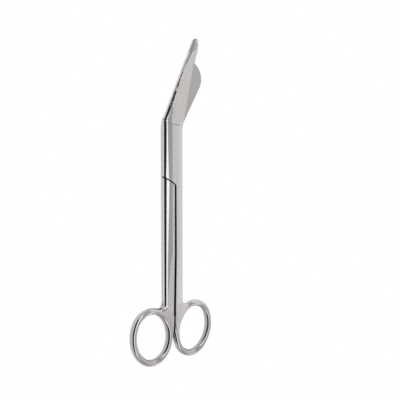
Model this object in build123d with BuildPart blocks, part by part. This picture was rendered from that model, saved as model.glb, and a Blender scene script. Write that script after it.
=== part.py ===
import math
import os

from build123d import *

# Bandage scissors, closed, lying on their back: X across, Y from the rings to the tip, Z up.
# The sketches measure from the pivot axis, in the plane of the back faces. The finished pieces are
# moved along Y, so that the origin is under the middle of the whole length.

# Driving dimensions, in millimetres and degrees.
thickness = 6.0
half_width = 7.15
side_crown = 4.95
side_turn = 1.9
shank_gap = 1.2
lap_clearance = 0.08
shoulder_clearance = 0.3

# Finger rings: centre-line oval, drawn with four arcs.
ring_distance = 103.1
ring_half_width = 12.5
ring_length_ratio = 1.181
ring_end_ratio = 0.904
ring_bar = 3.7
ring_tilt = 14.6
ring_inset = 0.15
ring_thickness = 4.3
ring_land = 0.1
hole_round = 1.3
hole_break = 0.4
crotch_radius = 3.2
crotch_rise = 15.5
web_rise = 33.0
web_width = 2.2
shank_end_rise = 12.0
ramp_rise = 45.0
ramp_foot_rise = 13.0
ramp_sink = 0.05
ramp_blend = 60.0
run_off_radius = 8.0
run_off_ratio = 0.68

# Lap joint: diagonal shoulder under the pivot.
shoulder_height = -13.88
shoulder_slope = 0.61
shoulder_corner = 1.8
lap_end = -22.0

# Box end, where the ground faces of the blades begin.
box_end_left = 16.0
box_end_middle = 15.2
box_end_right = 14.0
grind_step = 0.3
side_step = 0.35
box_end_slope = 45.0

# Probe blade, above the lap plane.
bend_height = 18.3
probe_edge_start = 16.1
probe_edge_slope = 0.25
probe_neck = 51.0
probe_neck_width = 7.27
probe_neck_top = 5.1
probe_neck_crown = 0.9
probe_neck_wall = 1.2
spine_land = 0.3
button_lip = 0.15
edge_land = 0.35
bevel_width = 1.1

# Blunt probe at the end of that blade, measured from its neck.
probe_length = 14.2
probe_reach = 2.98
bulge_ratio = 0.66
waist_ratio = 0.254
waist_reach_ratio = 0.26
nose_left_ratio = 0.58
nose_right_ratio = 0.52
probe_side_round = 5.0
probe_under = 0.3
probe_under_round = 1.1
ramp_ratio = 0.183
probe_round = 0.7
face_end_ratio = 0.33
face_end_slope = 0.35
facet_width = 3.9
facet_drop = 0.6

# Cutting blade, below the lap plane.
cut_tip = (16.3, 51.9)
cut_belly = (21.0, 37.8)
cut_edge_slope = 0.604
cut_spine_slope = 0.597
cut_edge_start = 16.2
cut_heel = (-3.4, 14.2)
cut_taper = 0.6
cut_bevel = 2.2
spine_round = 1.2

# Pivot screw, put in from the back.
screw_diameter = 4.2
screw_head_diameter = 7.4
screw_head_height = 1.3
screw_reach = 4.9
screw_slot_width = 1.0
screw_slot_depth = 0.6
running_fit = 0.05
head_clearance = 0.08
head_recess = 0.1

# Derived values.
lap = thickness / 2
ring_round = (ring_thickness - ring_land) / 2
ring_base = (thickness - ring_thickness) / 2
flat_half = half_width - side_crown
crown_radius = ((side_crown - side_turn) ** 2 + lap**2 - side_turn**2) / (2 * (lap - side_turn))
crown_turn = math.degrees(math.asin((side_crown - side_turn) / (crown_radius - side_turn)))
lap_top = lap + lap_clearance / 2
lap_bottom = lap - lap_clearance / 2
gap_face = shank_gap / 2
tilt = math.radians(ring_tilt)
half_bar = ring_bar / 2
ring_half_length = ring_half_width * ring_length_ratio
ring_end_radius = ring_half_width * ring_end_ratio
side_radius = (
    ring_half_width**2 + (ring_half_length - ring_end_radius) ** 2 - ring_end_radius**2
) / (2 * (ring_half_width - ring_end_radius))
arc_shift = side_radius - ring_half_width
end_shift = ring_half_length - ring_end_radius
ring_x = gap_face + ring_inset + side_radius + half_bar - arc_shift * math.cos(tilt)
ring_y = -ring_distance
far_end = ring_y - ring_half_length - ring_bar
ring_foot = ring_y - end_shift * math.cos(tilt) - ring_end_radius - half_bar
probe_end = probe_neck + probe_length
pivot_y = -(probe_end + ring_foot) / 2
inner_side = gap_face - ring_round - 0.7
ring_plane = Plane(
    origin=(ring_x, ring_y, ring_base),
    x_dir=(math.cos(tilt), -math.sin(tilt), 0),
    z_dir=(0, 0, 1),
)


def join_point(grow):
    # Where a side arc of the oval meets an end arc, for the oval grown by this much.
    span = side_radius - ring_end_radius
    reach = ring_end_radius + grow
    return (arc_shift / span * reach, end_shift + end_shift / span * reach)


def shoulder(x, lower=0.0):
    return shoulder_height - shoulder_slope * (x + half_width) - lower


# The bar runs off tangent to the side arc of the ring.
arc_x = ring_x + arc_shift * math.cos(tilt)
arc_y = ring_y - arc_shift * math.sin(tilt)
arc_r = side_radius + half_bar
run_off = (inner_side, ring_y + run_off_ratio * ring_half_length)
sight = math.hypot(arc_x - run_off[0], arc_y - run_off[1])
sight_angle = math.atan2(arc_y - run_off[1], arc_x - run_off[0]) - math.asin(arc_r / sight)
sight_length = math.sqrt(sight**2 - arc_r**2)
run_on = (
    run_off[0] + sight_length * math.cos(sight_angle),
    run_off[1] + sight_length * math.sin(sight_angle),
)

# The web between shank and ring: its outer side leaves the shank just above the crotch.
web_top = (gap_face + web_width, ring_y + web_rise)
web_slope = (half_width - web_top[0]) / (web_rise - crotch_rise)


def web_side(y):
    return half_width + web_slope * (ring_y + crotch_rise - y)


# Shank and box: a bar of half-oval section, flat in the middle of the front and the back.
with BuildPart() as bar:
    with BuildSketch(Plane.XZ.offset(-box_end_left - 8)):
        with BuildLine():
            Line((flat_half, 0), (inner_side + 1, 0))
            Line((inner_side + 1, 0), (inner_side + 1, thickness))
            Line((inner_side + 1, thickness), (flat_half, thickness))
            CenterArc((flat_half, thickness - crown_radius), crown_radius, 90 - crown_turn, crown_turn)
            CenterArc((half_width - side_turn, lap), side_turn, crown_turn - 90, 180 - 2 * crown_turn)
            CenterArc((flat_half, crown_radius), crown_radius, -90, crown_turn)
        make_face()
    extrude(amount=box_end_left + 8 - ring_y - shank_end_rise)
    # Front and back taper down to the web, which lies in the middle of the thickness.
    with BuildSketch(Plane.YZ) as taper:
        with BuildLine():
            foot_low = ring_base + ramp_sink
            Polyline(
                (box_end_left + 8, 0),
                (ring_y + ramp_rise, 0),
                (ring_y + ramp_foot_rise, foot_low),
                (ring_y, foot_low),
                (ring_y, thickness - foot_low),
                (ring_y + ramp_foot_rise, thickness - foot_low),
                (ring_y + ramp_rise, thickness),
                (box_end_left + 8, thickness),
                close=True,
            )
        make_face()
        fillet(taper.vertices().filter_by(lambda v: abs(v.X - ring_y - ramp_rise) < 0.01), ramp_blend)
    extrude(amount=60, both=True, mode=Mode.INTERSECT)
    # The other side of the box.
    with BuildSketch(Plane.XZ.offset(-box_end_left - 8)):
        with BuildLine():
            Line((-flat_half, 0), (flat_half, 0))
            Line((flat_half, 0), (flat_half, thickness))
            Line((flat_half, thickness), (-flat_half, thickness))
            CenterArc((-flat_half, thickness - crown_radius), crown_radius, 90, crown_turn)
            CenterArc((side_turn - half_width, lap), side_turn, 90 + crown_turn, 180 - 2 * crown_turn)
            CenterArc((-flat_half, crown_radius), crown_radius, -90 - crown_turn, crown_turn)
        make_face()
    extrude(amount=box_end_left + 8 - lap_end)

# One handle with its ring and its share of the box, at full thickness; both halves start from it.
with BuildPart() as handle:
    out = join_point(half_bar)
    with BuildSketch(ring_plane):
        with BuildLine():
            ThreePointArc((-out[0], out[1]), (-ring_half_width - half_bar, 0), (-out[0], -out[1]))
            ThreePointArc((-out[0], -out[1]), (0, -ring_half_length - half_bar), (out[0], -out[1]))
            ThreePointArc((out[0], -out[1]), (ring_half_width + half_bar, 0), (out[0], out[1]))
            ThreePointArc((out[0], out[1]), (0, ring_half_length + half_bar), (-out[0], out[1]))
        make_face()
    extrude(amount=ring_thickness)
    with BuildSketch(Plane.XY.offset(ring_base)):
        with BuildLine():
            Polyline(
                web_top,
                (inner_side, web_top[1]),
                run_off,
                run_on,
                (ring_x, ring_y),
                (web_side(ring_y), ring_y),
                close=True,
            )
        make_face()
    extrude(amount=ring_thickness)
    uprights = handle.edges().filter_by(Axis.Z).filter_by(lambda e: e.center().Y < web_top[1] - 1)
    fillet(uprights.filter_by(lambda e: abs(e.center().X - web_side(e.center().Y)) < 0.01), crotch_radius)
    uprights = handle.edges().filter_by(Axis.Z).filter_by(lambda e: e.center().Y < web_top[1] - 1)
    fillet(uprights.filter_by(lambda e: abs(e.center().X - inner_side) < 0.01), run_off_radius)
    # Half-round rim along the web and all the way round the ring.
    rim = handle.edges().filter_by(lambda e: abs(e.tangent_at(0.5).Z) < 0.9)
    fillet(rim.filter_by(lambda e: e.center().Y < web_top[1] - 0.1), ring_round)
    # Finger hole.
    inn = join_point(-half_bar)
    with BuildSketch(ring_plane):
        with BuildLine():
            ThreePointArc((-inn[0], inn[1]), (half_bar - ring_half_width, 0), (-inn[0], -inn[1]))
            ThreePointArc((-inn[0], -inn[1]), (0, half_bar - ring_half_length), (inn[0], -inn[1]))
            ThreePointArc((inn[0], -inn[1]), (ring_half_width - half_bar, 0), (inn[0], inn[1]))
            ThreePointArc((inn[0], inn[1]), (0, ring_half_length - half_bar), (-inn[0], inn[1]))
        make_face()
    whole = handle.edges()
    extrude(amount=ring_thickness, mode=Mode.SUBTRACT)
    hole_edges = (handle.edges() - whole).filter_by(lambda e: abs(e.tangent_at(0.5).Z) < 0.9)
    whole = handle.edges()
    chamfer(hole_edges, hole_round)
    hole_edges = (handle.edges() - whole).filter_by(lambda e: e.length > 3)
    chamfer(hole_edges, hole_break)
    add(bar.part)
    # The box ends on an arc, with a sloping face down to the ground blade.
    end_run = lap * math.tan(math.radians(box_end_slope))
    with BuildSketch(Plane.XY.offset(lap)):
        with BuildLine():
            ThreePointArc(
                (-half_width - 4, box_end_left + end_run),
                (0, box_end_middle + end_run),
                (half_width + 4, box_end_right + end_run),
            )
            Polyline(
                (half_width + 4, box_end_right + end_run),
                (half_width + 4, box_end_left + 14),
                (-half_width - 4, box_end_left + 14),
                (-half_width - 4, box_end_left + end_run),
            )
        make_face()
    extrude(amount=lap, both=True, taper=-box_end_slope, mode=Mode.SUBTRACT)
    # Gap between the shanks, up to the diagonal shoulder.
    with BuildSketch():
        with BuildLine():
            Polyline(
                (-half_width - 9, shoulder(-half_width - 9)),
                (gap_face, shoulder(gap_face)),
                (gap_face, far_end),
                (-half_width - 9, far_end),
                close=True,
            )
        make_face()
    extrude(amount=thickness, mode=Mode.SUBTRACT)

# Probe blade: the blunt end first, a button that reaches under the lap plane past the other blade.
spine_at_bend = side_step - half_width
edge_at_neck = half_width + probe_edge_slope * (probe_neck - probe_edge_start)
spine_at_neck = edge_at_neck - probe_neck_width
probe_spine_slope = (spine_at_neck - spine_at_bend) / (probe_neck - bend_height)
spine_at_end = spine_at_neck + probe_spine_slope * probe_length
probe_right = edge_at_neck + probe_reach
probe_bulge = probe_neck + bulge_ratio * probe_length
probe_ramp = probe_neck + ramp_ratio * probe_length
probe_waist = (
    edge_at_neck + waist_reach_ratio * probe_reach,
    probe_neck + waist_ratio * probe_length,
)
face_end = probe_neck + face_end_ratio * probe_length
under_face = lap_bottom - probe_under
nose_width = probe_right - spine_at_end
# Polished facet on the button, tilted towards the spine, from the slanting edge of the ground face on.
spine_run = Vector(probe_spine_slope, 1, 0).normalized()
facet_plane = Plane(
    origin=Vector(spine_at_neck, probe_neck, 0),
    x_dir=(spine_run.Y, -spine_run.X, 0),
    z_dir=(spine_run.X, spine_run.Y, 0),
)
with BuildPart() as facet:
    with BuildSketch(facet_plane):
        with BuildLine():
            Polyline(
                (-facet_width, 2 * facet_drop - probe_neck_top),
                (2 * facet_width, -facet_drop - probe_neck_top),
                (-facet_width, -facet_drop - probe_neck_top),
                close=True,
            )
        make_face()
    extrude(amount=2 * probe_length)
    with BuildSketch():
        with BuildLine():
            Polyline(
                (spine_at_neck - 2, face_end - face_end_slope * 2),
                (probe_right + 2, face_end + face_end_slope * (probe_right + 2 - spine_at_neck)),
                (probe_right + 2, probe_end + 2),
                (spine_at_neck - 2, probe_end + 2),
                close=True,
            )
        make_face()
    extrude(amount=2 * thickness, mode=Mode.INTERSECT)

with BuildPart() as probe_blade:
    with BuildSketch(Plane.XY.offset(under_face)) as button:
        with BuildLine():
            Polyline(
                (spine_at_neck, probe_neck),
                (spine_at_end, probe_end),
                (probe_right, probe_end),
                (probe_right, probe_bulge),
                probe_waist,
                (edge_at_neck, probe_neck),
                close=True,
            )
        make_face()
        fillet(button.vertices().group_by(Axis.Y)[-1].sort_by(Axis.X)[0], nose_left_ratio * nose_width)
        nose_right = button.vertices().sort_by_distance((probe_right, probe_end))[0]
        fillet(nose_right, nose_right_ratio * nose_width)
        fillet(button.vertices().sort_by_distance((probe_right, probe_bulge))[0], probe_side_round)
        fillet(button.vertices().sort_by_distance(probe_waist)[0], probe_side_round)
    extrude(amount=probe_neck_top - under_face)
    rim = probe_blade.edges().filter_by(lambda e: abs(e.tangent_at(0.5).Z) < 0.9)
    rim = rim.filter_by(lambda e: e.center().Y > probe_neck + 0.1)
    fillet(rim.group_by(Axis.Z)[0], probe_under_round)
    rim = probe_blade.edges().filter_by(lambda e: abs(e.tangent_at(0.5).Z) < 0.9)
    rim = rim.filter_by(lambda e: e.center().Y > probe_neck + 0.1)
    fillet(rim.group_by(Axis.Z)[-1], probe_round)
    with BuildSketch(Plane.YZ):
        with BuildLine():
            Polyline(
                (probe_neck - 1, lap_top),
                (probe_ramp, lap_top),
                (probe_ramp + 2, under_face),
                (probe_neck - 1, under_face),
                close=True,
            )
        make_face()
    extrude(amount=60, mode=Mode.SUBTRACT)
    # The ground face of the blade runs on over the root of the button, up to a slanting edge.
    face_level = probe_neck_top - button_lip
    with BuildSketch(Plane.XY.offset(face_level)):
        with BuildLine():
            Polyline(
                (spine_at_neck - 2, probe_neck - 1),
                (probe_right + 2, probe_neck - 1),
                (probe_right + 2, face_end + face_end_slope * (probe_right + 2 - spine_at_neck)),
                (spine_at_neck - 2, face_end - face_end_slope * 2),
                close=True,
            )
        make_face()
    extrude(amount=2, mode=Mode.SUBTRACT)
    add(facet.part, mode=Mode.SUBTRACT)
    # The blade itself, with a half-oval spine that gets narrower towards the button.
    ground = thickness - grind_step
    inside = probe_neck + 1
    spine_inside = spine_at_neck + probe_spine_slope + button_lip
    side = side_crown - side_step
    stations = (
        (box_end_right - 5, spine_at_bend, 0, ground, side, spine_land),
        (bend_height, spine_at_bend, 0, ground, side, spine_land),
        (inside, spine_inside, button_lip, face_level, probe_neck_crown, probe_neck_wall),
    )
    for station, spine, inset, face, crown, wall in stations:
        edge = half_width + probe_edge_slope * (station - probe_edge_start) - inset
        turn = lap_top + wall
        with BuildSketch(Plane.XZ.offset(-station)):
            with BuildLine():
                Line((spine, lap_top), (edge, lap_top))
                Line((edge, lap_top), (edge, lap_top + edge_land))
                Line((edge, lap_top + edge_land), (edge - bevel_width, face))
                Line((edge - bevel_width, face), (spine + crown, face))
                EllipticalCenterArc((spine + crown, turn), crown, face - turn, start_angle=90, arc_size=90)
                Line((spine, turn), (spine, lap_top))
            make_face()
    loft(ruled=True)

# Cutting blade: a straight edge, a corner at its tip and a round belly.
edge_foot = cut_tip[0] - cut_edge_slope * (cut_tip[1] - cut_edge_start)
blade_foot = box_end_right - 8
spine_foot = cut_belly[0] - cut_spine_slope * (cut_belly[1] - blade_foot)
with BuildPart() as cutting_blade:
    with BuildSketch():
        with BuildLine():
            Polyline(
                cut_belly,
                (spine_foot, blade_foot),
                (cut_heel[0], blade_foot),
                cut_heel,
                (edge_foot, cut_edge_start),
                cut_tip,
            )
            TangentArc(cut_belly, cut_tip, tangent=(cut_spine_slope, 1))
        make_face()
    extrude(amount=lap_bottom)
    # The back face rises from the grind step towards the tip.
    with BuildSketch(Plane.YZ):
        with BuildLine():
            Polyline(
                (blade_foot, 0),
                (blade_foot, grind_step),
                (cut_tip[1] + 1, grind_step + cut_taper),
                (cut_tip[1] + 1, 0),
                close=True,
            )
        make_face()
    extrude(amount=60, both=True, mode=Mode.SUBTRACT)
    back = cutting_blade.faces().filter_by(lambda f: f.normal_at().Z < -0.9).sort_by(Axis.Y)[-1]
    spine_middle = ((spine_foot + cut_belly[0]) / 2, (blade_foot + cut_belly[1]) / 2, grind_step)
    fillet(back.edges().sort_by_distance(spine_middle)[0], spine_round)
    # Bevel along the cutting edge, ground from the back.
    edge_run = Vector(cut_edge_slope, 1, 0).normalized()
    edge_height = lap_bottom - edge_land
    bevel_plane = Plane(
        origin=Vector(edge_foot, cut_edge_start, 0) - edge_run * cut_bevel,
        x_dir=(edge_run.Y, -edge_run.X, 0),
        z_dir=(edge_run.X, edge_run.Y, 0),
    )
    with BuildSketch(bevel_plane):
        with BuildLine():
            Polyline(
                (-cut_bevel, -2 * edge_height),
                (2 * cut_bevel, edge_height),
                (-cut_bevel, edge_height),
                close=True,
            )
        make_face()
    extrude(amount=2 * cut_tip[1], mode=Mode.SUBTRACT)

# Front half: the probe blade and the ring on the other side of the axis, one forging.
corner_drop = shoulder_clearance * math.hypot(1, shoulder_slope)
corner = shoulder(-gap_face, corner_drop)
with BuildPart() as front_forging:
    add(handle.part)
    with BuildSketch():
        with BuildLine():
            Polyline(
                (half_width + 9, shoulder(-half_width - 9, corner_drop)),
                (gap_face, corner),
                (gap_face, lap_end),
                (-half_width - 9, lap_end),
                (-half_width - 9, box_end_left + 9),
                (half_width + 9, box_end_left + 9),
                close=True,
            )
        make_face()
    extrude(amount=lap_top, mode=Mode.SUBTRACT)
    corner_edges = front_forging.edges().filter_by(Axis.Z)
    fillet(corner_edges.sort_by_distance((gap_face, corner, 0))[0], shoulder_corner)
    add(probe_blade.part)
    with Locations((0, 0, lap)):
        Cylinder(
            screw_diameter / 2,
            screw_reach - lap,
            align=(Align.CENTER, Align.CENTER, Align.MIN),
            mode=Mode.SUBTRACT,
        )

# Back half: the cutting blade and the other ring.
with BuildPart() as back_forging:
    mirror(handle.part, about=Plane.YZ)
    with BuildSketch(Plane.XY.offset(lap_bottom)):
        with BuildLine():
            Polyline(
                (-half_width - 9, shoulder(-half_width - 9, corner_drop)),
                (-gap_face, corner),
                (-gap_face, lap_end),
                (half_width + 9, lap_end),
                (half_width + 9, box_end_left + 9),
                (-half_width - 9, box_end_left + 9),
                close=True,
            )
        make_face()
    extrude(amount=thickness, mode=Mode.SUBTRACT)
    corner_edges = back_forging.edges().filter_by(Axis.Z)
    fillet(corner_edges.sort_by_distance((-gap_face, corner, thickness))[0], shoulder_corner)
    add(cutting_blade.part)
    Cylinder(
        screw_diameter / 2 + running_fit,
        thickness,
        align=(Align.CENTER, Align.CENTER, Align.MIN),
        mode=Mode.SUBTRACT,
    )
    Cylinder(
        screw_head_diameter / 2 + head_clearance,
        head_recess + screw_head_height + head_clearance,
        align=(Align.CENTER, Align.CENTER, Align.MIN),
        mode=Mode.SUBTRACT,
    )

# Pivot screw with a slotted head, sunk in the back and screwed into the front half.
with BuildPart() as pivot_screw:
    with Locations((0, pivot_y, head_recess)):
        Cylinder(
            screw_head_diameter / 2,
            screw_head_height,
            align=(Align.CENTER, Align.CENTER, Align.MIN),
        )
        Cylinder(
            screw_diameter / 2,
            screw_reach - head_recess,
            align=(Align.CENTER, Align.CENTER, Align.MIN),
        )
        chamfer(pivot_screw.edges().group_by(Axis.Z)[0], screw_slot_depth / 3)
        Box(
            screw_head_diameter + 1,
            screw_slot_width,
            screw_slot_depth,
            align=(Align.CENTER, Align.CENTER, Align.MIN),
            mode=Mode.SUBTRACT,
        )

# The two halves in their places.
with BuildPart() as probe_blade_half:
    with Locations((0, pivot_y, 0)):
        add(front_forging.part)

with BuildPart() as cutting_blade_half:
    with Locations((0, pivot_y, 0)):
        add(back_forging.part)

os.makedirs("parts", exist_ok=True)
probe_blade_half.part.label = "probe_blade_half"
cutting_blade_half.part.label = "cutting_blade_half"
pivot_screw.part.label = "pivot_screw"
export_step(probe_blade_half.part, "parts/probe_blade_half.step")
export_step(cutting_blade_half.part, "parts/cutting_blade_half.step")
export_step(pivot_screw.part, "parts/pivot_screw.step")
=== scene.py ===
import math
import bpy
import bmesh
from mathutils import Matrix, Vector
from mathutils.bvhtree import BVHTree


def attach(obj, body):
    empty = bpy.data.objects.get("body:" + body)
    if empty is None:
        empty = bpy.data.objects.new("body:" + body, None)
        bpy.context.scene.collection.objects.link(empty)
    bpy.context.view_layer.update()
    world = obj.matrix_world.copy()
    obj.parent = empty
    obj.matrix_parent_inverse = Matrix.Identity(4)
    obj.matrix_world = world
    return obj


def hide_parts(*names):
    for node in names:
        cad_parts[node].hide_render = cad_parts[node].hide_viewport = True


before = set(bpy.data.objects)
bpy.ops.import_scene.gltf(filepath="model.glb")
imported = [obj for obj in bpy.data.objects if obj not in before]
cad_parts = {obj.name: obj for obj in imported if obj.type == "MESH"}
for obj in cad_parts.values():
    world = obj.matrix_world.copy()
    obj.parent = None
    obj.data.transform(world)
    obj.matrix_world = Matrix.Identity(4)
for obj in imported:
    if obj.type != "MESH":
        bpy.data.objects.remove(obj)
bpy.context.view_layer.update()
print("frame loaded:", sorted(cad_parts))


# shader helpers: a number is set on its socket, another node's output is linked to it

def feed(link, socket, value):
    if isinstance(value, bpy.types.NodeSocket):
        link.new(value, socket)
    else:
        socket.default_value = value


def calc(n, link, operation, first, second=None):
    node = n.new("ShaderNodeMath")
    node.operation = operation
    feed(link, node.inputs[0], first)
    if second is not None:
        feed(link, node.inputs[1], second)
    return node.outputs[0]


def ramp(n, link, value, start, end, low=0.0, high=1.0, smooth=True):
    node = n.new("ShaderNodeMapRange")
    node.interpolation_type = "SMOOTHSTEP" if smooth else "LINEAR"
    feed(link, node.inputs["Value"], value)
    feed(link, node.inputs["From Min"], start)
    feed(link, node.inputs["From Max"], end)
    feed(link, node.inputs["To Min"], low)
    feed(link, node.inputs["To Max"], high)
    return node.outputs["Result"]


def around(n, link, value, reach):
    # noise from 0 to 1 becomes a factor that swings around 1
    return ramp(n, link, value, 0.0, 1.0, 1.0 - reach, 1.0 + reach, smooth=False)


def mixValue(n, link, factor, low, high):
    node = n.new("ShaderNodeMix")
    feed(link, node.inputs["Factor"], factor)
    feed(link, node.inputs["A"], low)
    feed(link, node.inputs["B"], high)
    return node.outputs["Result"]


def mixColor(n, link, factor, low, high):
    node = n.new("ShaderNodeMix")
    node.data_type = "RGBA"
    feed(link, node.inputs["Factor"], factor)
    for name, value in (("A", low), ("B", high)):
        feed(link, node.inputs[name], (*value, 1) if isinstance(value, tuple) else value)
    return node.outputs["Result"]


def measure(n, link, here, axis):
    # how far a point lies along an axis
    node = n.new("ShaderNodeVectorMath")
    node.operation = "DOT_PRODUCT"
    node.inputs[1].default_value = axis
    link.new(here, node.inputs[0])
    return node.outputs["Value"]


def splitPlace(n, link, here):
    node = n.new("ShaderNodeSeparateXYZ")
    link.new(here, node.inputs[0])
    return node.outputs["X"], node.outputs["Y"], node.outputs["Z"]


def newGroup(name, settings, output):
    tree = bpy.data.node_groups.new(name, "ShaderNodeTree")
    for label, value in settings.items():
        sock = tree.interface.new_socket(label, in_out="INPUT", socket_type="NodeSocketFloat")
        sock.default_value = value
    tree.interface.new_socket(output, in_out="OUTPUT", socket_type="NodeSocketFloat")
    n, link = tree.nodes, tree.links
    given = n.new("NodeGroupInput").outputs
    result = n.new("NodeGroupOutput").inputs[output]
    here = n.new("ShaderNodeTexCoord").outputs["Object"]
    return tree, n, link, given, result, here


# steel: ground satin on the flats, polished where the sides turn over

lineNoise = {"detail": 3.0, "roughness": 0.6}


def grindLinesGroup():
    tree, n, link, given, result, here = newGroup(
        "grindLines", {"Scale": 900.0, "Stretch": 0.04, "Turn": 0.0}, "Lines")
    turned = n.new("ShaderNodeVectorRotate")
    turned.rotation_type = "Z_AXIS"
    link.new(here, turned.inputs["Vector"])
    link.new(given["Turn"], turned.inputs["Angle"])
    x, y, z = splitPlace(n, link, turned.outputs["Vector"])
    drawn = n.new("ShaderNodeCombineXYZ")
    link.new(calc(n, link, "MULTIPLY", x, given["Stretch"]), drawn.inputs["X"])
    link.new(y, drawn.inputs["Y"])
    link.new(z, drawn.inputs["Z"])
    noise = n.new("ShaderNodeTexNoise")
    noise.inputs["Detail"].default_value = lineNoise["detail"]
    noise.inputs["Roughness"].default_value = lineNoise["roughness"]
    link.new(drawn.outputs[0], noise.inputs["Vector"])
    link.new(given["Scale"], noise.inputs["Scale"])
    link.new(noise.outputs["Fac"], result)
    return tree


def handleMaskGroup():
    # 0 along the blades and shanks, 1 around the finger rings
    tree, n, link, given, result, here = newGroup("handleMask", {"From": -0.058, "To": -0.07}, "Mask")
    y = splitPlace(n, link, here)[1]
    link.new(ramp(n, link, y, given["From"], given["To"]), result)
    return tree


# painted shade along the seam at the shoulder and along the edges of the gap
seamShadeLook = {
    "shoulder": {"Foot": 0.00878, "Slope": -0.61, "Middle": 0.003, "Core": 0.0003, "Edge": 0.0006},
    "shoulderEnd": 0.0002,
    "gapFrom": 0.008,  # the painted shade along the gap's edges grows from here
    "gapTo": -0.06,
    "gapCore": 0.00055,
    "gapEdgeFrom": 0.0007,
    "gapEdgeTo": 0.0013,
    "gapStrength": 0.85,
    "gapEnd": -0.066,
}


def seamShadeGroup(look):
    # painted shade: 1 along the slanting shoulder, where the two halves meet on the front and, mirrored,
    # on the back
    tree, n, link, given, result, here = newGroup("seamShade", look["shoulder"], "Mask")
    x, y, z = splitPlace(n, link, here)
    side = calc(n, link, "SIGN", calc(n, link, "SUBTRACT", z, given["Middle"]))
    across = calc(n, link, "MULTIPLY", x, side)
    line = calc(n, link, "ADD", calc(n, link, "MULTIPLY", across, given["Slope"]), given["Foot"])
    away = calc(n, link, "ABSOLUTE", calc(n, link, "SUBTRACT", y, line))
    shoulder = ramp(n, link, away, given["Core"], given["Edge"], 1.0, 0.0)
    outer = calc(n, link, "LESS_THAN", across, look["shoulderEnd"])
    shoulder = calc(n, link, "MULTIPLY", shoulder, outer)
    # painted shade along the edges of the gap between the shanks, wider and wider towards the rings
    width = ramp(n, link, y, look["gapFrom"], look["gapTo"],
                 look["gapEdgeFrom"], look["gapEdgeTo"], smooth=False)
    gap = ramp(n, link, calc(n, link, "ABSOLUTE", x), look["gapCore"], width, look["gapStrength"], 0.0)
    below = calc(n, link, "LESS_THAN", y, given["Foot"])
    above = calc(n, link, "GREATER_THAN", y, look["gapEnd"])
    gap = calc(n, link, "MULTIPLY", gap, calc(n, link, "MULTIPLY", below, above))
    link.new(calc(n, link, "MAXIMUM", shoulder, gap), result)
    return tree


bladeAcross = (0.92, -0.39, 0.0)  # the bent blades: from the spine to the cutting edge
bladeAlong = (0.39, 0.92, 0.0)  # and from the box to the tip
# painted shade and highlight across the facet of the tip
facetShadeAndHighlightLook = {"tones": {"Inner": 0.78, "Outer": 1.35}, "from": -0.0212, "to": -0.0182}
# where the painted dark line of the shoulder runs near the tip
shoulderShadeLook = {"Foot": 0.07738, "Offset": 0.02163, "Bend": 0.159, "Core": 0.00015, "Edge": 0.00045}


def facetShadeAndHighlightGroup(look):
    # painted shade and highlight: the facet of the probe tip is darker beside the spine and brighter
    # towards its outer edge
    tree, n, link, given, result, here = newGroup("facetShadeAndHighlight", look["tones"], "Tone")
    across = measure(n, link, here, bladeAcross)
    tone = ramp(n, link, across, look["from"], look["to"], given["Inner"], given["Outer"], smooth=False)
    link.new(tone, result)
    return tree


def shoulderShadeGroup(look):
    # painted shade: a dark line for the shoulder of the ground face, which near the tip bends away from
    # the edge until it meets the facet
    tree, n, link, given, result, here = newGroup("shoulderShade", look, "Mask")
    up = calc(n, link, "SUBTRACT", measure(n, link, here, bladeAlong), given["Foot"])
    bend = calc(n, link, "MULTIPLY", up, given["Bend"])
    across = calc(n, link, "ADD", measure(n, link, here, bladeAcross), given["Offset"])
    away = calc(n, link, "ABSOLUTE", calc(n, link, "SUBTRACT", across, bend))
    link.new(ramp(n, link, away, given["Core"], given["Edge"], 1.0, 0.0), result)
    return tree


grindLines = grindLinesGroup()
handleMask = handleMaskGroup()
seamShade = seamShadeGroup(seamShadeLook)
shoulderShade = shoulderShadeGroup(shoulderShadeLook)
facetShadeAndHighlight = facetShadeAndHighlightGroup(facetShadeAndHighlightLook)
print("finish groups ready")


def faceLayer(n, name):
    node = n.new("ShaderNodeAttribute")
    node.attribute_name = name
    return node.outputs["Fac"]


def placed(n, tree, **settings):
    node = n.new("ShaderNodeGroup")
    node.node_tree = tree
    for label, value in settings.items():
        node.inputs[label].default_value = value
    return node.outputs[0]


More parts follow.
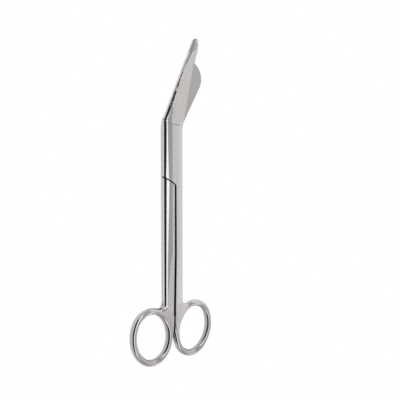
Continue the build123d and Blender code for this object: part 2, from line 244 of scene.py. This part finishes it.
def steelMaterial(name, look):
    mat = bpy.data.materials.new(name)
    mat.use_nodes = True
    n, link = mat.node_tree.nodes, mat.node_tree.links
    bsdf = n["Principled BSDF"]
    bsdf.inputs["Metallic"].default_value = 1.0
    satin, shade, wallShade = faceLayer(n, "satin"), faceLayer(n, "shade"), faceLayer(n, "wallShade")
    crown, tip = faceLayer(n, "crown"), faceLayer(n, "tip")
    handle = placed(n, handleMask)
    lines = placed(n, grindLines, Scale=look["lineScale"],
                   Stretch=look["lineStretch"], Turn=look["lineTurn"])
    cloud = placed(n, grindLines, Scale=look["cloudScale"], Stretch=1.0)

    # colour: polished rounds, ground flats, a softer lustre on both around the rings
    rounds = mixColor(n, link, handle, look["polishColor"], look["ringColor"])
    flats = mixColor(n, link, handle, look["satinColor"], look["webColor"])
    metal = mixColor(n, link, satin, rounds, flats)
    metal = mixColor(n, link, shade, metal, look["shadeColor"])
    # painted shade: a dark line along the steep shoulder near the tip
    line = calc(n, link, "MULTIPLY", placed(n, shoulderShade), tip)
    metal = mixColor(n, link, line, metal, look["shoulderShadeColor"])
    # painted shade: near black on the walls of the gap and the shoulders, on the box end step and along
    # the seam
    paintedShade = calc(n, link, "MAXIMUM", wallShade, placed(n, seamShade))
    metal = mixColor(n, link, paintedShade, metal, look["wallShadeColor"])

    # tone: fine clouds on the satin, and the painted shade and highlight across the facet of the tip
    mottle = mixValue(n, link, satin, 1.0, around(n, link, cloud, look["cloudTone"]))
    facet = mixValue(n, link, crown, 1.0, placed(n, facetShadeAndHighlight))
    toned = n.new("ShaderNodeVectorMath")
    toned.operation = "SCALE"
    link.new(metal, toned.inputs[0])
    link.new(calc(n, link, "MULTIPLY", mottle, facet), toned.inputs["Scale"])
    link.new(toned.outputs[0], bsdf.inputs["Base Color"])

    rough = mixValue(n, link, handle, look["polishRough"], look["ringRough"])
    rough = mixValue(n, link, satin, rough, look["satinRough"])
    wander = around(n, link, lines, look["roughWander"])
    link.new(calc(n, link, "MULTIPLY", rough, wander), bsdf.inputs["Roughness"])

    # edges are broken by the polishing wheel, and the satin has fine grinding lines
    worn = n.new("ShaderNodeBevel")
    worn.samples = look["edgeSamples"]
    worn.inputs["Radius"].default_value = look["edgeBreak"]
    bump = n.new("ShaderNodeBump")
    link.new(worn.outputs["Normal"], bump.inputs["Normal"])
    bump.inputs["Strength"].default_value = look["lineStrength"]
    bump.inputs["Distance"].default_value = look["lineDepth"]
    link.new(calc(n, link, "MULTIPLY", lines, satin), bump.inputs["Height"])
    link.new(bump.outputs["Normal"], bsdf.inputs["Normal"])
    return mat


steelLook = {
    "polishColor": (0.60, 0.5925, 0.604),
    "ringColor": (0.50, 0.48, 0.476),
    "satinColor": (0.713, 0.684, 0.671),
    "webColor": (0.62, 0.59, 0.586),
    "shadeColor": (0.525, 0.503, 0.503),
    # painted shade, near black, for the walls and along the seam
    "wallShadeColor": (0.02, 0.019, 0.018),
    # painted shade, dark, for the line along the shoulder near the tip
    "shoulderShadeColor": (0.10, 0.095, 0.092),
    "polishRough": 0.12,
    "ringRough": 0.20,
    "satinRough": 0.42,
    "lineScale": 2200.0,
    "lineStretch": 0.05,
    "lineTurn": math.radians(8),
    "lineStrength": 0.5,
    "lineDepth": 0.00002,
    "roughWander": 0.12,
    "edgeBreak": 0.0002,
    "edgeSamples": 6,
    "cloudScale": 700.0,
    "cloudTone": 0.10,
}
screwLook = dict(steelLook, satinColor=(0.56, 0.55, 0.545), satinRough=0.34, lineTurn=0.6)
forgedSteel = steelMaterial("forgedSteel", steelLook)
screwSteel = steelMaterial("screwSteel", screwLook)
print("steel ready")


# halves: a welded copy of each forging, shaded smooth across its rounds

halves = {
    "probeHalf": {
        "node": "probe_blade_half",
        "body": "probe_half",
        "slot": "satin_steel",
        "mat": forgedSteel,
    },
    "cuttingHalf": {
        "node": "cutting_blade_half",
        "body": "cutting_half",
        "slot": "satin_steel",
        "mat": forgedSteel,
    },
    "pivotScrew": {
        "node": "pivot_screw",
        "body": "probe_half",
        "slot": "screw_steel",
        "mat": screwSteel,
    },
}
weld = {"merge": 1e-7, "sliver": 1e-8, "smooth": math.radians(32)}
zones = {
    "flatRise": 0.8,  # rise and lean are parts of a face's normal
    "flatLean": 0.03,
    "lap": 0.003,
    "lapNear": 0.0004,
    "buttonFrom": 0.0799,
    "buttonSlope": 0.35,
    "buttonSatin": 0.3,
    "tipFrom": 0.0755,
    "uprightRise": 0.05,
    "gapReach": 0.0012,
    "gapFrom": -0.068,
    "gapTurn": 0.97,
    "shoulderReach": 0.024,
    "shoulderTurn": 0.6,
    "wallTo": 0.028,
    "boxTo": 0.048,
    "boxTurn": 0.5,
}


def finishOf(normal, center, part):
    # satin: flats that do not lean to a side; shade: the inner face of the cutting blade; next, painted
    # shade on the walls of the gap and the shoulders and on the box end step; crown: the tip's facet; tip:
    # the flat before it
    probe, cutting = part["node"] == "probe_blade_half", part["node"] == "cutting_blade_half"
    flat = abs(normal.z) > zones["flatRise"] and abs(normal.x) < zones["flatLean"]
    button = center.y > zones["buttonFrom"] + zones["buttonSlope"] * center.x
    inner = cutting and flat and abs(center.z - zones["lap"]) < zones["lapNear"]
    upright = abs(normal.z) < zones["uprightRise"]
    gap = upright and abs(center.x) < zones["gapReach"] and center.y > zones["gapFrom"]
    gap = gap and abs(normal.x) > zones["gapTurn"]
    shoulder = upright and abs(normal.y) > zones["shoulderTurn"] and abs(center.y) < zones["shoulderReach"]
    wall = (gap or shoulder) and center.y < zones["wallTo"]
    boxEnd = normal.y > zones["boxTurn"] and abs(normal.z) > zones["boxTurn"]
    boxEnd = boxEnd and zones["wallTo"] < center.y < zones["boxTo"]
    return {
        "satin": zones["buttonSatin"] if button else flat,
        "shade": inner,
        # painted shade on the walls of the gap and the shoulders and on the box end step
        "wallShade": wall or boxEnd,
        "crown": button and normal.z > zones["flatRise"],
        "tip": probe and flat and normal.z > 0 and center.y > zones["tipFrom"] and not button,
    }


spineGrind = {
    "from": 0.040,  # where the ground face begins to widen, has its full width, and ends
    "full": 0.0535,
    "to": 0.0795,
    "rise": 0.3,
    "lean": 0.02,
    "origin": 0.045,
    "top": (-0.02245, 0.013),  # across at the origin and slope, for the shoulder's edge and its foot
    "foot": (-0.02312, 0.0331),
    "reach": 0.002,
    "above": 0.01,
    "tiny": 1e-6,
}


def grindProbeBlade(bm, grind):
    # the ground face of the probe blade widens over the spine's crown, up to a sharp, steep shoulder
    across, along = Vector(bladeAcross).normalized(), Vector(bladeAlong).normalized()

    def frontFaces():
        bm.normal_update()
        return [face for face in bm.faces
                if face.normal.z > grind["rise"] and face.normal.x < grind["lean"]
                and grind["from"] < face.calc_center_median().y < grind["to"]]

    def beyond(line, place):
        offset, slope = grind[line]
        return place.dot(across) - offset - slope * (place.dot(along) - grind["origin"])

    for line in ("top", "foot"):
        offset, slope = grind[line]
        faces = frontFaces()
        edges = dict.fromkeys(edge for face in faces for edge in face.edges)
        verts = dict.fromkeys(vert for face in faces for vert in face.verts)
        bmesh.ops.bisect_plane(bm, geom=[*faces, *edges, *verts], dist=grind["tiny"],
                               plane_co=across * offset + along * grind["origin"],
                               plane_no=across - along * slope)
    bmesh.ops.triangulate(bm, faces=[face for face in bm.faces if len(face.verts) > 3])
    surface = BVHTree.FromBMesh(bm)
    lifts = []
    for vert in dict.fromkeys(vert for face in frontFaces() for vert in face.verts):
        top, foot = beyond("top", vert.co), beyond("foot", vert.co)
        share = min((vert.co.y - grind["from"]) / (grind["full"] - grind["from"]), 1)
        if foot < grind["tiny"] or top > grind["reach"] or share < 0 or vert.co.y > grind["to"]:
            continue
        inside = 1 if top >= 0 else foot / (foot - top)  # 1 on the face, 0 at the foot of the wall
        beside = Vector((vert.co.x + grind["reach"], vert.co.y, grind["above"]))
        level = surface.ray_cast(beside, Vector((0, 0, -1)))[0].z
        lifts.append((vert, max(level - vert.co.z, 0) * inside * share))
    for vert, lift in lifts:
        vert.co.z += lift
    print("ground face:", len(lifts), "points lifted, at most", max(lift for vert, lift in lifts))


def weldedCopy(name, part):
    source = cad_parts[part["node"]]
    mesh = source.data.copy()
    mesh.name = name
    piece = bpy.data.objects.new(name, mesh)
    bpy.context.scene.collection.objects.link(piece)
    mesh.transform(source.matrix_world)
    bm = bmesh.new()
    bm.from_mesh(mesh)
    bmesh.ops.remove_doubles(bm, verts=bm.verts, dist=weld["merge"])
    bmesh.ops.dissolve_degenerate(bm, edges=bm.edges, dist=weld["sliver"])
    if name == "probeHalf":
        grindProbeBlade(bm, spineGrind)
    bm.normal_update()
    for edge in bm.edges:
        edge.smooth = len(edge.link_faces) == 2 and edge.calc_face_angle() < weld["smooth"]
    for face in bm.faces:
        face.smooth = True
    bm.to_mesh(mesh)
    bm.free()
    finishes = [finishOf(poly.normal, poly.center, part) for poly in mesh.polygons]
    for layerName in finishes[0]:
        layer = mesh.attributes.new(layerName, "FLOAT", "FACE")
        for spot, finish in zip(layer.data, finishes):
            spot.value = float(finish[layerName])
    mesh.materials.clear()
    mesh.materials.append(part["mat"])
    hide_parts(part["node"])
    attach(piece, part["body"])
    return piece


pieces = {name: weldedCopy(name, part) for name, part in halves.items()}
print("halves ready:", {name: len(piece.data.polygons) for name, piece in pieces.items()})


# floor: white to the camera and to polished metal, with a soft shade beside the scissors

stageLook = {
    "floorSize": 3.0,
    "floorColor": (0.86, 0.86, 0.86),
    "floorRough": 0.9,
    "mirrorTone": (1.0, 0.995, 0.985),
    "shadowReach": 0.0035,
    "shadowSamples": 16,
    "shadowFrom": -0.15,
    "shadowTo": 0.36,
    "mirrorFrom": 0.3,
    "mirrorTo": 0.85,
}
white = (1, 1, 1)


def floorMaterial(look):
    mat = bpy.data.materials.new("floorWhite")
    mat.use_nodes = True
    n, link = mat.node_tree.nodes, mat.node_tree.links
    bsdf = n["Principled BSDF"]
    bsdf.inputs["Base Color"].default_value = (*look["floorColor"], 1)
    bsdf.inputs["Roughness"].default_value = look["floorRough"]
    bsdf.inputs["Specular IOR Level"].default_value = 0.0
    path = n.new("ShaderNodeLightPath")
    camera, glossy = path.outputs["Is Camera Ray"], path.outputs["Is Glossy Ray"]
    cover = n.new("ShaderNodeAmbientOcclusion")
    cover.samples = look["shadowSamples"]
    cover.inputs["Distance"].default_value = look["shadowReach"]
    clear = cover.outputs["AO"]
    # polished sides mirror a deeper shade right beside them than the camera sees
    seenShade = ramp(n, link, clear, look["shadowFrom"], look["shadowTo"], smooth=False)
    mirrorShade = ramp(n, link, clear, look["mirrorFrom"], look["mirrorTo"], smooth=False)
    glow = n.new("ShaderNodeEmission")
    link.new(mixColor(n, link, glossy, white, look["mirrorTone"]), glow.inputs["Color"])
    link.new(mixValue(n, link, glossy, seenShade, mirrorShade), glow.inputs["Strength"])
    blend = n.new("ShaderNodeMixShader")
    link.new(calc(n, link, "MAXIMUM", camera, glossy), blend.inputs["Fac"])
    link.new(bsdf.outputs[0], blend.inputs[1])
    link.new(glow.outputs[0], blend.inputs[2])
    link.new(blend.outputs[0], n["Material Output"].inputs["Surface"])
    return mat


bm = bmesh.new()
bmesh.ops.create_grid(bm, x_segments=1, y_segments=1, size=stageLook["floorSize"] / 2)
floorMesh = bpy.data.meshes.new("floor")
bm.to_mesh(floorMesh)
bm.free()
floor = bpy.data.objects.new("floor", floorMesh)
bpy.context.scene.collection.objects.link(floor)
floorMesh.materials.append(floorMaterial(stageLook))
print("floor ready")


# sky: white to the camera, dim to polished metal, so that only lamps and floor show in it

worldLook = {"diffuse": (0.40, 0.40, 0.40), "mirror": (0.024, 0.024, 0.026)}
world = bpy.data.worlds.new("studio")
bpy.context.scene.world = world
world.use_nodes = True
wn, wl = world.node_tree.nodes, world.node_tree.links
skyPath = wn.new("ShaderNodeLightPath")
dim = mixColor(wn, wl, skyPath.outputs["Is Glossy Ray"], worldLook["diffuse"], worldLook["mirror"])
wl.new(mixColor(wn, wl, skyPath.outputs["Is Camera Ray"], dim, white), wn["Background"].inputs["Color"])

# soft boxes, placed by their angle from straight up: lean towards +X, tip towards -Y
lamps = {
    "overhead": {"lean": -12.5, "away": 0.9, "size": (0.41, 2.6), "bright": 1.54},
    "ceiling": {"lean": 20.5, "away": 1.0, "size": (0.76, 2.6), "bright": 0.505},
    "rightSoft": {"lean": 65.5, "away": 0.9, "size": (0.82, 2.6), "bright": 0.96},
    "leftLow": {"lean": -81.5, "away": 0.9, "size": (0.27, 2.6), "bright": 1.1},
    "tipSoft": {"lean": 14, "tip": -68, "away": 1.3, "size": (1.9, 0.8), "bright": 0.56},
    "ringSoft": {"lean": 14, "tip": 68, "away": 1.3, "size": (1.9, 0.8), "bright": 0.56},
}
for name, lamp in lamps.items():
    data = bpy.data.lights.new(name, "AREA")
    data.shape = "RECTANGLE"
    data.size, data.size_y = lamp["size"]
    data.energy = lamp["bright"] * math.pi * data.size * data.size_y
    softBox = bpy.data.objects.new(name, data)
    bpy.context.scene.collection.objects.link(softBox)
    turn = Matrix.Rotation(math.radians(lamp.get("tip", 0)), 4, "X")
    turn = Matrix.Rotation(math.radians(lamp["lean"]), 4, "Y") @ turn
    softBox.matrix_world = turn @ Matrix.Translation((0, 0, lamp["away"]))
    softBox.visible_camera = False
print("light ready:", sorted(lamps))

# camera: about 40 degrees to the left of straight above
viewLook = {
    "at": (-0.200909, 0.016882, 0.243382),
    "turn": (-2.951, -39.891, -0.2246),  # degrees about X, Y and Z
    "lens": 49.82,
    "sensor": 36.0,
    "shift": (0.0695, 0.00075),
    "nearest": 0.01,
}
camData = bpy.data.cameras.new("studioCamera")
camData.lens = viewLook["lens"]
camData.sensor_width = viewLook["sensor"]
camData.shift_x, camData.shift_y = viewLook["shift"]
camData.clip_start = viewLook["nearest"]
cam = bpy.data.objects.new("studioCamera", camData)
bpy.context.scene.collection.objects.link(cam)
cam.location = viewLook["at"]
cam.rotation_euler = [math.radians(angle) for angle in viewLook["turn"]]
bpy.context.scene.camera = cam
bpy.context.scene.view_settings.view_transform = "Standard"
print("camera ready")
